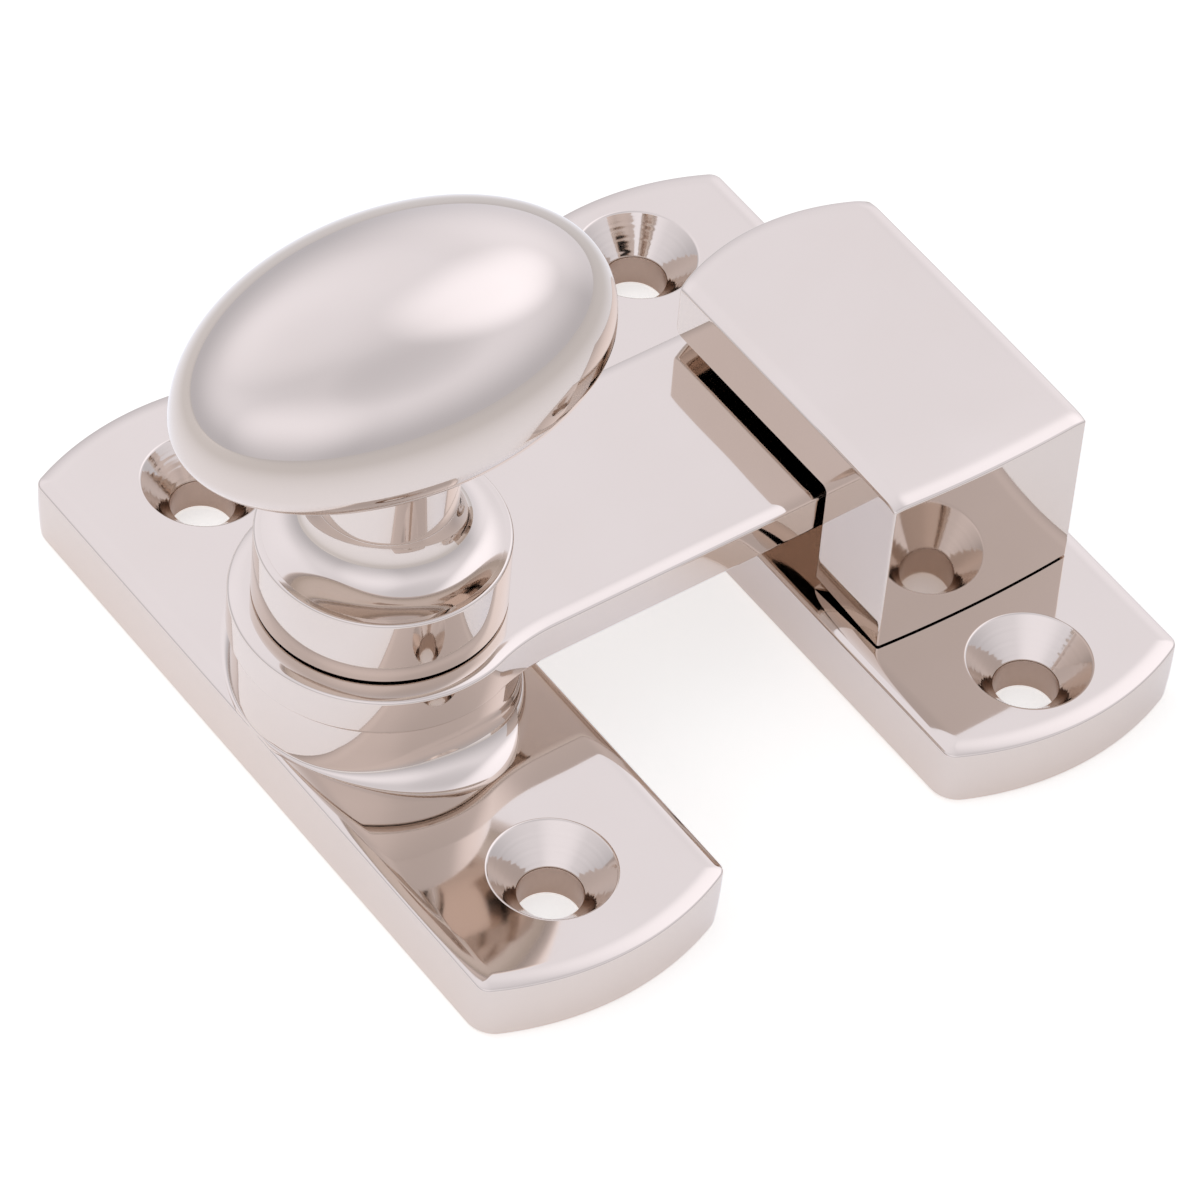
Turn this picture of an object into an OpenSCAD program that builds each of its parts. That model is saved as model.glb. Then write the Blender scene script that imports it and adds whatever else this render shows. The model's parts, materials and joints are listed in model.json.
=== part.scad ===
// Cabinet latch: an oval knob on a plate turns an arm into a hook on a keeper plate.
// Origin on the knob's axis at the back face of the latch plate.
// +X points to the keeper, +Y along the plates, +Z out of the plates.

/* [Plates] */
// Width of both plates
plate_w = 19; // [18:0.5:24]
// Length of both plates over their curved ends
plate_l = 56.2; // [54:0.2:70]
// Thickness of both plates
plate_t = 4.8; // [4:0.1:7]
// Rise of the curved ends above their corners
end_rise = 2.3; // [1:0.1:3.5]
// Rounding of the upper edges of the plates
plate_edge = 0.5; // [0.2:0.1:1]

/* [Screw holes] */
// Distance between the screw holes of the latch plate
latch_spacing = 40; // [36:0.5:44]
// Distance between the screw holes of the keeper plate
keeper_spacing = 44; // [43:0.5:45]
// Diameter of the screw holes
hole_d = 4.3; // [3.5:0.1:5]
// Diameter of the countersinks at the face of the plates
sink_d = 8.4; // [7:0.1:9]
// Full angle of the countersinks
sink_angle = 82; // [80:1:100]

/* [Boss] */
// Diameter of the boss under the arm
boss_d = 18.8; // [16:0.2:18.8]
// Height of the boss above its plate
boss_h = 4.3; // [3.5:0.1:7]
// Radius of the fillet at the foot of the boss
boss_fillet = 1; // [0.5:0.1:1.5]
// Diameter of the recess in the back for the nut and washers
recess_d = 11; // [10.4:0.1:12]

/* [Spindle] */
// Diameter of the bore that the spindle runs in
bore_d = 6; // [5:0.1:6.4]
// Width of the square that drives the arm
square_w = 6.4; // [6.4:0.1:7]
// Diameter of the stud that holds the knob
stud_d = 5; // [4:0.1:5.6]
// Diameter of the threaded end under the nut
thread_d = 4; // [3:0.1:4.4]
// Length of the stud inside the knob
stud_grip = 5; // [3:0.1:7]
// Height of the square inside the knob's base
square_grip = 4.3; // [2:0.1:5]
// How far the threaded end stands out of the nut
thread_out = 0.5; // [0.1:0.1:0.5]

/* [Washers and nut] */
// Thickness of the washer between boss and arm
thrust_t = 0.3; // [0.2:0.05:0.8]
// Diameter of the washer between boss and arm
thrust_d = 15; // [12:0.2:15.6]
// Height of the conical spring washer
spring_h = 0.75; // [0.5:0.05:1]
// Sheet thickness of the conical spring washer
spring_t = 0.35; // [0.2:0.05:0.45]
// Thickness of the flat washer under the nut
washer_t = 0.8; // [0.5:0.1:1.2]
// Diameter of the flat washer and of the spring washer
washer_d = 9.6; // [9:0.1:10]
// Width of the nut across its flats
nut_w = 7; // [6:0.1:7.6]
// Thickness of the nut
nut_t = 2.2; // [1.6:0.1:2.4]
// Depth of the nut below the back of the plate
nut_sink = 1; // [0.5:0.1:1.5]

/* [Arm] */
// Width of the arm
arm_w = 17; // [14:0.5:18]
// Thickness of the arm
arm_t = 3.25; // [2.5:0.05:5]
// Diameter of the arm's round end on the pivot
arm_end_d = 19.6; // [18.4:0.2:22]
// Radius of the hollow where the arm leaves its round end
arm_blend = 6; // [3:0.5:10]
// Rounding of the corners at the arm's tip
tip_round = 1.5; // [0.5:0.1:3]

/* [Knob] */
// Diameter of the knob's round base
base_d = 16.6; // [15:0.2:18]
// Height of the straight wall of the base
base_h = 5.4; // [4:0.1:8]
// Bevel at the foot and the rim of the base
base_bevel = 0.25; // [0.1:0.05:0.4]
// Radius of the cove from the base up to the neck
cove_r = 3.6; // [3:0.1:4]
// Height of the neck between the cove and the head
neck_h = 6; // [4:0.2:12]
// Length of the oval head
knob_l = 31.2; // [26:0.2:40]
// Width of the oval head
knob_w = 19.6; // [17:0.2:24]
// Height of the head's dome above its widest level
dome_h = 8.6; // [6:0.1:11]
// Depth of the head's underside below its widest level
under_h = 5.3; // [4:0.1:7]
// Fullness of the dome, where 2 is an ellipse
dome_power = 2.3; // [2:0.05:2.6]

/* [Keeper] */
// Distance from the knob's axis to the middle of the keeper plate
keeper_x = 36.7; // [34:0.1:44]
// Width of the hook along the arm
hook_w = 15.6; // [12:0.2:17]
// Thickness of the hook's wall
wall_t = 7.2; // [5.5:0.1:7.4]
// Thickness of the hook's lip
lip_t = 4.4; // [3:0.1:7]
// How far the lip reaches past the arm
lip_over = 1.3; // [0.5:0.1:3]
// Rise of the lip's curved end above its corners
lip_rise = 2; // [1:0.1:3]
// Rounding under the lip's end, where the arm comes in
lead_r = 1.4; // [0.5:0.1:2]
// Rounding of the upper edges of the hook
hook_edge = 0.4; // [0.2:0.1:0.8]
// Shank diameter of the screws that hold the hook
hook_screw_d = 3; // [2.5:0.1:3.4]
// Head diameter of the screws that hold the hook
hook_head_d = 6; // [5:0.1:6.4]
// Distance between the screws that hold the hook
hook_screw_spacing = 8; // [7:0.2:9]
// Length of the screws that hold the hook
hook_screw_l = 12; // [9:0.5:14]

/* [Clearances] */
// Radial clearance of the spindle in its bore
run_fit = 0.05; // [0.02:0.01:0.08]
// Clearance between fitted pieces that turn together or stand still
slip_fit = 0.05; // [0.02:0.01:0.1]
// Gap at each washer between the still and the turning pieces
run_gap = 0.05; // [0.02:0.01:0.1]
// Gap between the arm's side and the hook's wall
side_gap = 0.4; // [0.3:0.05:1]
// Gap between the arm's top and the hook's lip
lip_gap = 1; // [0.3:0.05:2]
// How far the arm's tip stays inside the hook's far side
tip_inset = 1.6; // [0.5:0.1:3]

/* [Hidden] */
$fn = 64;
curve_steps = 16;
cut_over = 1;
fillet_sink = 0.05;
screw_slot_w = 0.7;
screw_slot_h = 0.6;

end_r = (plate_w * plate_w / 4 + end_rise * end_rise) / (2 * end_rise);
end_y = plate_l / 2 - end_r;

boss_top = plate_t + boss_h;
arm_z = boss_top + thrust_t + run_gap;
arm_top = arm_z + arm_t;
base_top = arm_top + base_h;
neck_d = base_d - 2 * cove_r;
neck_z = base_top + cove_r;
head_bottom = neck_z + neck_h;
head_z = head_bottom + under_h;

washer_z = nut_sink + nut_t;
shoulder_z = washer_z + washer_t;
recess_h = shoulder_z + spring_h + run_gap;
square_top = arm_top + square_grip;
stud_top = neck_z + stud_grip;

wall_in = -arm_w / 2 - side_gap;
hook_near = wall_in - wall_t;
hook_far = arm_w / 2 + lip_over;
lip_z = arm_top + lip_gap;
hook_top = lip_z + lip_t;
lip_r = (hook_w * hook_w / 4 + lip_rise * lip_rise) / (2 * lip_rise);
lip_y = hook_far - lip_r;
arm_tip = keeper_x + hook_w / 2 - tip_inset;
hook_screw_y = (hook_near + wall_in) / 2;
hook_head_h = (hook_head_d - hook_screw_d) / 2;

nickel = [0.86, 0.83, 0.81];
steel = [0.62, 0.62, 0.63];
brass = [0.78, 0.63, 0.34];

// Section of a strip, flat below, with both upper corners rounded
module eased_strip(w, h, edge) {
    translate([-w / 2, 0])
        square([w, h - edge]);
    translate([-w / 2 + edge, 0])
        square([w - 2 * edge, h]);
    for (side = [-1, 1])
        translate([side * (w / 2 - edge), h - edge])
            circle(edge);
}

// Half section of a disc with its lower and upper rims rounded
module eased_rim(r, z0, z1, low, high) {
    translate([0, z0])
        square([r - low, z1 - z0 - high]);
    translate([0, z0 + low])
        square([r - high, z1 - z0 - low]);
    translate([0, z0 + low])
        square([r, z1 - z0 - low - high]);
    translate([r - high, z1 - high])
        circle(high);
    if (low > 0)
        translate([r - low, z0 + low])
            circle(low);
}

// Curved end of a plate towards +Y, with the rest of the plate's length behind it
module plate_end() {
    translate([0, end_y, 0])
        rotate_extrude()
            eased_rim(end_r, 0, plate_t, 0, plate_edge);
    translate([-plate_w, end_y - plate_l, 0])
        cube([2 * plate_w, plate_l, plate_t]);
}

// Plate with curved ends and rounded upper edges
module plate_blank() {
    intersection() {
        translate([0, plate_l / 2, 0])
            rotate([90, 0, 0])
                linear_extrude(plate_l)
                    eased_strip(plate_w, plate_t, plate_edge);
        plate_end();
        mirror([0, 1, 0])
            plate_end();
    }
}

// Two countersunk holes through a plate
module screw_holes(spacing) {
    sink_slope = tan(sink_angle / 2);
    sink_h = (sink_d - hole_d) / 2 / sink_slope;
    for (side = [-1, 1])
        translate([0, side * spacing / 2, 0]) {
            translate([0, 0, -cut_over])
                cylinder(d = hole_d, h = plate_t + 2 * cut_over);
            translate([0, 0, plate_t - sink_h])
                cylinder(d1 = hole_d, d2 = sink_d + 2 * cut_over * sink_slope, h = sink_h + cut_over);
        }
}

// Boss with a hollow fillet at its foot, cut off at the plate's long edges
module boss() {
    intersection() {
        rotate_extrude() {
            square([boss_d / 2, boss_top]);
            difference() {
                square([boss_d / 2 + boss_fillet, plate_t + boss_fillet - fillet_sink]);
                translate([boss_d / 2 + boss_fillet, plate_t + boss_fillet - fillet_sink])
                    circle(boss_fillet);
            }
        }
        translate([-plate_w / 2, -plate_w, plate_t / 2])
            cube([plate_w, 2 * plate_w, boss_top]);
    }
}

module latch_plate() {
    color(nickel)
        difference() {
            union() {
                plate_blank();
                boss();
            }
            screw_holes(latch_spacing);
            translate([0, 0, -cut_over])
                cylinder(d = recess_d, h = recess_h + cut_over);
            cylinder(d = bore_d, h = boss_top + cut_over);
        }
}

// Flat ring
module ring(d_in, d_out, h) {
    difference() {
        cylinder(d = d_out, h = h);
        translate([0, 0, -cut_over])
            cylinder(d = d_in, h = h + 2 * cut_over);
    }
}

module thrust_washer() {
    color(brass)
        translate([0, 0, boss_top])
            ring(bore_d + 2 * run_fit, thrust_d, thrust_t);
}

// Plan of the bar, square at the pivot and with rounded corners at its tip
module bar_plan() {
    difference() {
        translate([0, -arm_w / 2])
            square([arm_tip, arm_w]);
        for (side = [-1, 1])
            difference() {
                translate([arm_tip, side * arm_w / 2])
                    square(2 * tip_round, center = true);
                translate([arm_tip - tip_round, side * (arm_w / 2 - tip_round)])
                    circle(tip_round);
            }
    }
}

// Outline of the hollow corner that blends the round end into one side of the bar
function corner_outline(side) =
    let (far = arm_end_d / 2 + arm_blend)
    let (out = arm_w / 2 + arm_blend)
    let (along = sqrt(far * far - out * out))
    let (first = atan2(out, along))
    concat(
        [[0, 0]],
        [for (i = [0:curve_steps])
            let (a = 180 + first + (90 - first) * i / curve_steps)
            [along + arm_blend * cos(a), side * (out + arm_blend * sin(a))]],
        [[along, 0]]);

module square_bar(w, z0, z1) {
    translate([-w / 2, -w / 2, z0])
        cube([w, w, z1 - z0]);
}

module latch_arm() {
    color(nickel)
        difference() {
            translate([0, 0, arm_z]) {
                cylinder(d = arm_end_d, h = arm_t);
                linear_extrude(arm_t)
                    bar_plan();
                for (side = [-1, 1])
                    linear_extrude(arm_t)
                        polygon(corner_outline(side));
            }
            square_bar(square_w + 2 * slip_fit, arm_z - cut_over, arm_top + cut_over);
        }
}

// Turned base: drum with bevelled foot and rim, and a cove up to the neck
module knob_base() {
    r = base_d / 2;
    color(nickel)
        difference() {
            rotate_extrude()
                difference() {
                    polygon([
                        [0, arm_top], [r - base_bevel, arm_top], [r, arm_top + base_bevel],
                        [r, base_top - base_bevel], [r - base_bevel, base_top],
                        [r - base_bevel, neck_z], [0, neck_z]
                    ]);
                    translate([r, neck_z])
                        circle(cove_r);
                }
            square_bar(square_w + 2 * slip_fit, arm_top - cut_over, square_top + slip_fit);
            translate([0, 0, arm_top])
                cylinder(d = stud_d + 2 * slip_fit, h = neck_z - arm_top + cut_over);
        }
}

// Quarter of a superellipse from the axis out to the widest level
function quarter(r, h, power) =
    [for (i = [0:curve_steps])
        let (a = 90 * i / curve_steps)
        [r * pow(sin(a), 2 / power), h * pow(cos(a), 2 / power)]];

// Oval head: a full dome over a shallow bowl, both oval in plan
module head() {
    scale([knob_l / knob_w, 1, 1])
        rotate_extrude()
            polygon(concat(quarter(knob_w / 2, dome_h, dome_power), [[0, 0]]));
    intersection() {
        scale([knob_l / 2, knob_w / 2, under_h])
            sphere(1);
        translate([-knob_l, -knob_w, -2 * under_h])
            cube([2 * knob_l, 2 * knob_w, 2 * under_h]);
    }
}

module oval_knob() {
    color(nickel)
        difference() {
            union() {
                translate([0, 0, head_z])
                    head();
                translate([0, 0, neck_z])
                    cylinder(d = neck_d, h = head_z - neck_z);
            }
            translate([0, 0, neck_z - cut_over])
                cylinder(d = stud_d + 2 * slip_fit, h = stud_grip + cut_over + slip_fit);
        }
}

module spindle() {
    color(steel) {
        translate([0, 0, nut_sink - thread_out])
            cylinder(d = thread_d, h = shoulder_z - nut_sink + thread_out);
        translate([0, 0, shoulder_z])
            cylinder(d = bore_d - 2 * run_fit, h = arm_z - shoulder_z);
        square_bar(square_w, arm_z, square_top);
        translate([0, 0, square_top])
            cylinder(d = stud_d, h = stud_top - square_top);
    }
}

// Conical washer, standing on its outer edge
module spring_washer() {
    r_in = bore_d / 2 + slip_fit;
    r_out = washer_d / 2;
    color(steel)
        translate([0, 0, shoulder_z])
            rotate_extrude()
                polygon([[r_in, spring_h - spring_t], [r_out, 0], [r_out, spring_t], [r_in, spring_h]]);
}

module retaining_washer() {
    color(steel)
        translate([0, 0, washer_z])
            ring(thread_d + 2 * slip_fit, washer_d, washer_t);
}

module retaining_nut() {
    color(steel)
        translate([0, 0, nut_sink])
            difference() {
                cylinder(d = nut_w / cos(30), h = nut_t, $fn = 6);
                translate([0, 0, -cut_over])
                    cylinder(d = thread_d + 2 * slip_fit, h = nut_t + 2 * cut_over);
            }
}

// Puts a copy at each screw that holds the hook
module at_hook_screws() {
    for (side = [-1, 1])
        translate([keeper_x + side * hook_screw_spacing / 2, hook_screw_y, 0])
            children();
}

module keeper_plate() {
    color(nickel)
        difference() {
            translate([keeper_x, 0, 0])
                difference() {
                    plate_blank();
                    screw_holes(keeper_spacing);
                }
            at_hook_screws() {
                translate([0, 0, -cut_over])
                    cylinder(d = hook_screw_d + 2 * slip_fit, h = plate_t + 2 * cut_over);
                translate([0, 0, -cut_over])
                    cylinder(d1 = hook_head_d + 2 * (slip_fit + cut_over),
                             d2 = hook_screw_d + 2 * slip_fit, h = hook_head_h + cut_over);
            }
        }
}

// Side view of the hook behind the lip's curved end: the wall and the root of the lip
module hook_side() {
    difference() {
        translate([hook_near, plate_t])
            square([lip_y - hook_near, hook_top - plate_t]);
        translate([wall_in, plate_t - cut_over])
            square([lip_y - wall_in + cut_over, lip_z - plate_t + cut_over]);
        difference() {
            translate([hook_near - cut_over, hook_top - hook_edge])
                square([hook_edge + cut_over, hook_edge + cut_over]);
            translate([hook_near + hook_edge, hook_top - hook_edge])
                circle(hook_edge);
        }
    }
}

module keeper_hook() {
    color(nickel)
        translate([keeper_x, 0, 0])
            difference() {
                intersection() {
                    translate([0, hook_far, plate_t])
                        rotate([90, 0, 0])
                            linear_extrude(hook_far - hook_near)
                                eased_strip(hook_w, hook_top - plate_t, hook_edge);
                    union() {
                        translate([0, lip_y, 0])
                            rotate_extrude()
                                eased_rim(lip_r, lip_z, hook_top, lead_r, hook_edge);
                        translate([-hook_w, 0, 0])
                            rotate([90, 0, 90])
                                linear_extrude(2 * hook_w)
                                    hook_side();
                    }
                }
                translate([-keeper_x, 0, 0])
                    at_hook_screws()
                        cylinder(d = hook_screw_d + 2 * slip_fit, h = hook_screw_l + slip_fit);
            }
}

// Countersunk screws with a driver slot, sunk flush with the back of the keeper plate
module hook_screws() {
    color(steel)
        at_hook_screws()
            difference() {
                union() {
                    cylinder(d = hook_screw_d, h = hook_screw_l);
                    cylinder(d1 = hook_head_d, d2 = hook_screw_d, h = hook_head_h);
                }
                translate([-hook_head_d, -screw_slot_w / 2, -cut_over])
                    cube([2 * hook_head_d, screw_slot_w, screw_slot_h + cut_over]);
            }
}

latch_plate();
thrust_washer();
latch_arm();
knob_base();
oval_knob();
spindle();
spring_washer();
retaining_washer();
retaining_nut();
keeper_plate();
keeper_hook();
hook_screws();
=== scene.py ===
"""The looks of a cabinet latch: turned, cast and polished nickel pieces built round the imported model."""

import json
import math

import bmesh
import bpy
import numpy as np
from mathutils import Matrix, Vector


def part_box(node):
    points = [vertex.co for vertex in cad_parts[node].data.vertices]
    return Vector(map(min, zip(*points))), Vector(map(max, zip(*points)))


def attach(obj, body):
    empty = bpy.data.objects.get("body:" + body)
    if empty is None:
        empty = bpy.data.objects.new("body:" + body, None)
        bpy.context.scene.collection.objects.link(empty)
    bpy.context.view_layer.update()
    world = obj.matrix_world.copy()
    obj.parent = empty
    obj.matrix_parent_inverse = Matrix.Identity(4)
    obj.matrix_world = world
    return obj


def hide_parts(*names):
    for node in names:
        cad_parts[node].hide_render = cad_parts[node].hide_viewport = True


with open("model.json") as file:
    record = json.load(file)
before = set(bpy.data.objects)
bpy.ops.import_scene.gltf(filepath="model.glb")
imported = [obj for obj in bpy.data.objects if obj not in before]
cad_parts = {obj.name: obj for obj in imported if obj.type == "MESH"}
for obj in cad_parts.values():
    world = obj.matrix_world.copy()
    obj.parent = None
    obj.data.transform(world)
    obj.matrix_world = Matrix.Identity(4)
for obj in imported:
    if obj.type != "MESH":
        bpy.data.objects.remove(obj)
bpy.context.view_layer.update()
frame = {"nodes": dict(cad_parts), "record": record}

bl_info = {
    "name": "Cabinet latch",
    "version": (1, 0, 0),
    "blender": (4, 5, 0),
    "location": "3D View > Sidebar > Latch",
    "description": "Makes the polished pieces of a cabinet latch, its finishes and its studio",
    "category": "Object",
}

# Resolution: steps round turned pieces, along bends, sides and ends, and rows across faces and walls
ROUND_COLUMNS = 192
BEND_STEPS = 10
BEVEL_STEPS = 4
MID_STEPS = 24
SIDE_STEPS = 20
END_STEPS = 32
DIVIDE_STEPS = 47
SINK_ROWS = 150
BACK_ROWS = 3
TOP_ROWS = 6
RECESS_FACE_ROWS = 4
RECESS_WALL_ROWS = 6
NECK_ROWS = 6
HOOK_ROWS = 60
HOOK_NEAR_STEPS = 12
HOOK_WALL_STEPS = 10
LIP_END_STEPS = 6
LIP_UNDER_STEPS = 16

# Distance within which points merge, and the angle past which an edge is shaded sharp
MERGE = 1e-6
SHARP_ANGLE = math.radians(40.0)

# Least radii of a plate's corner, the hook's edges and the boss's fillet, and least cosine to divide by
LEAST_CORNER = 0.0002
LEAST_EDGE = 0.00005
LEAST_FILLET = 0.00003
LEAST_COSINE = 0.1

# Distance from the middle of each plate at which its faces are divided, clear of the screw holes
LATCH_SPLIT = 0.0125
KEEPER_SPLIT = 0.0165

# Room behind a hook screw's head, room between the boss's root and the recess, and step of the slope's probe
HEAD_ROOM = 0.001
ROOT_GAP = 0.00002
PROBE_STEP = 0.00005

# Shares: of the plate's thickness for a hook screw's hole, of its top edge for the end of the wall's satin
# and for the room left round the boss, of the joint's bevel below the lid, of the flare for the slope's probe
SHANK_SHARE = 0.8
SATIN_SHARE = 0.6
ROOM_SHARE = 0.2
LID_SHARE = 1.2
PROBE_SHARE = 0.8

# Second sine of the turning marks: its size and its rate against the first, and its start
RIPPLE_SIZE = 0.6
RIPPLE_RATE = 1.6
RIPPLE_START = 1.0

# How satin the countersinks and the drilled holes are; above 1 the metal is also darker, as painted shade on
# the walls of the drilled holes
CONE_SATIN = 0.25
DRILL_SATIN_AND_SHADE = 2.0

# Finishes: scales of the noise per metre, ranges of roughness, and strength and depth of the relief
CLOUD_SCALE = 160.0
HAZE_SCALE = 1400.0
HAZE_RANGE = (0.03, 0.07)
GRAIN_SCALE = 2600.0
GRAIN_RANGE = (0.10, 0.18)
WAVE_SCALE = 110.0
WAVE_STRENGTH = 0.14
WAVE_DEPTH = 0.0004
MARK_SCALE = 900.0
MARK_STRETCH = (1.0, 1.0, 6.0)
MARK_RANGE = (0.22, 0.40)
MARK_STRENGTH = 0.15
MARK_DEPTH = 0.00005
SCUFF_SCALE = 1200.0
SCUFF_RANGE = (0.20, 0.42)

# Floor: half its width, its drop below the plates, its roughness, and rays for its shade in reflections
FLOOR_HALF = 0.9
FLOOR_DROP = 0.0001
FLOOR_ROUGHNESS = 0.9
SHADE_SAMPLES = 4

# Lamps: place and width
TOP_LAMP_PLACE = (-0.10, 0.25, 0.60)
TOP_LAMP_WIDTH = 0.5
LEFT_LAMP_PLACE = (-0.60, 0.10, 0.30)
LEFT_LAMP_WIDTH = 0.4

# Light tent: levels at the horizon, half way up and at the zenith, and how high the middle level lies
WHITE = (1.0, 1.0, 1.0)
SKY_HORIZON = 0.66
SKY_MIDDLE = 1.0
SKY_ZENITH = 0.88
SKY_SHOULDER = 0.62
# Soft patches: azimuth from -Y towards +X, elevation and spread in degrees, and gain
SKY_PATCHES = (
    (95, 50, 28, 0.46), (20, 60, 28, -0.11), (120, 5, 40, 0.28), (180, 58, 40, 0.16), (-50, 25, 42, 0.16),
)

# Camera: direction and roll in degrees, what it looks at, how far off, and its lens
VIEW_AZIMUTH = -39.43
VIEW_ELEVATION = 47.19
VIEW_ROLL = 5.44
VIEW_TARGET = (0.01594, -0.00279, 0.0049)
VIEW_DISTANCE = 0.52257
VIEW_LENS = 240.0
VIEW_SENSOR = 36.0
VIEW_CLIP = 0.05


def mount(name):
    """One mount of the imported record."""
    return next(m for m in frame["record"]["mounts"] if m["name"] == name)


PLATE_LOW, PLATE_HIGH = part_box("keeper_plate")
LATCH_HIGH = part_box("latch_plate")[1]
ARM_LOW, ARM_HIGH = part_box("latch_arm")
BASE_LOW, BASE_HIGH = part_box("knob_base")
KNOB_LOW, KNOB_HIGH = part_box("oval_knob")
HOOK_LOW, HOOK_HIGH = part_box("keeper_hook")
LATCH_DIMS = mount("latch_screws")["dims"]
KEEPER_DIMS = mount("keeper_screws")["dims"]


def length(name, description, default):
    """A size that a user can change, in metres."""
    return bpy.props.FloatProperty(
        name=name, description=description, default=default, min=0.0, unit="LENGTH", precision=5
    )


def colour(name, description, default):
    """A colour that a user can change."""
    return bpy.props.FloatVectorProperty(
        name=name, description=description, default=default, min=0.0, max=1.0, size=3, subtype="COLOR"
    )


class LATCH_PG_plate(bpy.types.PropertyGroup):
    """Sizes that the latch plate and the keeper plate share."""

    end_rise: length("End rise", "Height of the curve at each end of a plate", 0.0023)
    edge: length("Edge rounding", "Radius of the top edge", 0.00022)
    dub_width: length("Dubbed width", "Width of the soft fall towards the edge from polishing", 0.00115)
    dub_depth: length("Dubbed depth", "Depth of the soft fall towards the edge", 0.00019)
    flat_ring: length("Flat ring", "Width of the level strip inside the dubbed edge", 0.00010)
    belly: length("Wall belly", "How far the side wall swells at mid height", 0.00005)
    foot_edge: length("Foot rounding", "Radius of the bottom edge", 0.0004)
    corner_top: length("Top corner", "Corner radius at the top face", 0.0010)
    corner_foot: length("Foot corner", "Corner radius at the back face", 0.0022)
    sink_d: length("Countersink", "Diameter of the countersink at the top face", 0.0084)
    sink_rim: length("Countersink rim", "Length of the easing at the countersink's rim", 0.00012)
    sink_angle: bpy.props.FloatProperty(
        name="Countersink angle", description="Full angle of the countersink",
        default=math.radians(82.0), subtype="ANGLE",
    )
    ring_height: length("Turning marks", "Height of the fine rings in the countersink", 0.0000012)
    ring_pitch: length("Ring pitch", "Distance between the fine rings in the countersink", 0.00042)
    recess_d: length("Back recess", "Diameter of the recess for the nut", 0.0110)
    hook_screw_x: length("Hook screw offset", "Distance of each hook screw from the middle", 0.0040)
    hook_screw_y: length("Hook screw depth", "Distance of the hook screws from the middle to -Y", 0.0125)
    hook_head_d: length("Hook screw head", "Diameter of the sink for a hook screw's head", 0.0061)


class LATCH_PG_boss(bpy.types.PropertyGroup):
    """Sizes of the round boss on the latch plate."""

    diameter: length("Diameter", "Diameter of the boss", 0.0188)
    bore_d: length("Bore", "Diameter of the bore for the spindle", 0.0060)
    fillet: length("Foot fillet", "Radius of the hollow at the boss's foot, where it is widest", 0.0026)
    fillet_least: length("Side fillet", "Radius of the hollow towards the plate's long sides", 0.0002)
    edge: length("Top edge", "Easing of the boss's top edge", 0.00012)
    bed: length("Bed", "Depth that the boss is rooted in the plate", 0.00035)
    rim: length("Rim", "Width of the raised rim round the thrust washer", 0.0008)
    rim_gap: length("Rim gap", "Gap left between the rim and the arm", 0.00008)


class LATCH_PG_arm(bpy.types.PropertyGroup):
    """Sizes of the arm."""

    width: length("Width", "Width of the bar", 0.0170)
    blend: length("Blend", "Radius of the hollow between the round end and the bar", 0.0140)
    tip_round: length("Tip corner", "Corner radius at the tip", 0.0015)
    edge: length("Top edge", "Radius of the top edge", 0.00025)
    dub_width: length("Dubbed width", "Width of the soft fall of the top towards its edge", 0.0009)
    dub_depth: length("Dubbed depth", "Depth of the soft fall of the top towards its edge", 0.00015)
    foot_edge: length("Lower edge", "Radius of the lower edge", 0.0004)


class LATCH_PG_knob(bpy.types.PropertyGroup):
    """Sizes of the knob and of the turned base below it."""

    base_h: length("Drum height", "Height of the straight wall of the base", 0.0054)
    foot_gap: length("Foot groove", "Height of the groove at the foot of the base", 0.00015)
    foot_depth: length("Groove depth", "Depth of the groove at the foot of the base", 0.0007)
    base_edge: length("Drum edge", "Easing of the edge between the drum and the cove", 0.00026)
    cove_r: length("Cove", "Radius of the cove up to the neck", 0.0036)
    cove_power: bpy.props.FloatProperty(
        name="Cove power", description="Power of the cove's curve; 2 is a circle, more is flatter below",
        default=2.5,
    )
    joint_bevel: length("Joint bevel", "Bevel at the joint between the base and the neck", 0.00005)
    neck_flare: length("Neck flare", "Radius of the flare from the neck into the head", 0.0016)
    dome_h: length("Dome", "Height of the dome above the widest section", 0.0086)
    under_h: length("Underside", "Depth of the underside below the widest section", 0.0053)
    dome_power: bpy.props.FloatProperty(
        name="Dome power", description="Power of the dome's curve; 2 is an ellipse",
        default=2.3, min=1.5, max=4.0,
    )


class LATCH_PG_hook(bpy.types.PropertyGroup):
    """Sizes of the hook on the keeper plate."""

    wall_t: length("Wall", "Thickness of the wall", 0.0072)
    lip_t: length("Lip", "Thickness of the lip over the arm", 0.0044)
    lip_rise: length("Lip rise", "Height of the curve at the lip's far end", 0.0020)
    near_swell: length("Near face swell", "How far the near face swells at its middle", 0.0003)
    lead_r: length("Lead-in", "Radius under the lip's far end", 0.0007)
    inner_r: length("Inner corner", "Radius of the hollow between wall and lip", 0.0004)
    edge: length("Edge", "Radius of the outer edges", 0.00016)
    dub_width: length("Dubbed width", "Width of the soft fall of the top towards its edges", 0.0011)
    dub_depth: length("Dubbed depth", "Depth of the soft fall of the top towards its edges", 0.00018)
    crown_width: length("Crown width", "Length of the slow fall of the top towards its near edge", 0.0120)
    crown_depth: length("Crown depth", "Depth of the slow fall of the top towards its near edge", 0.00020)
    foot_gap: length("Foot groove", "Height of the groove at the joint with the plate", 0.00016)
    foot_depth: length("Groove depth", "Depth of the groove at the joint with the plate", 0.0012)
    foot_lift: length("Foot lift", "How far the foot rises to the inner end of its -X side", 0.00045)
    foot_fade: length("Foot fade", "Width over which that rise fades out along the wall", 0.0030)


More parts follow.
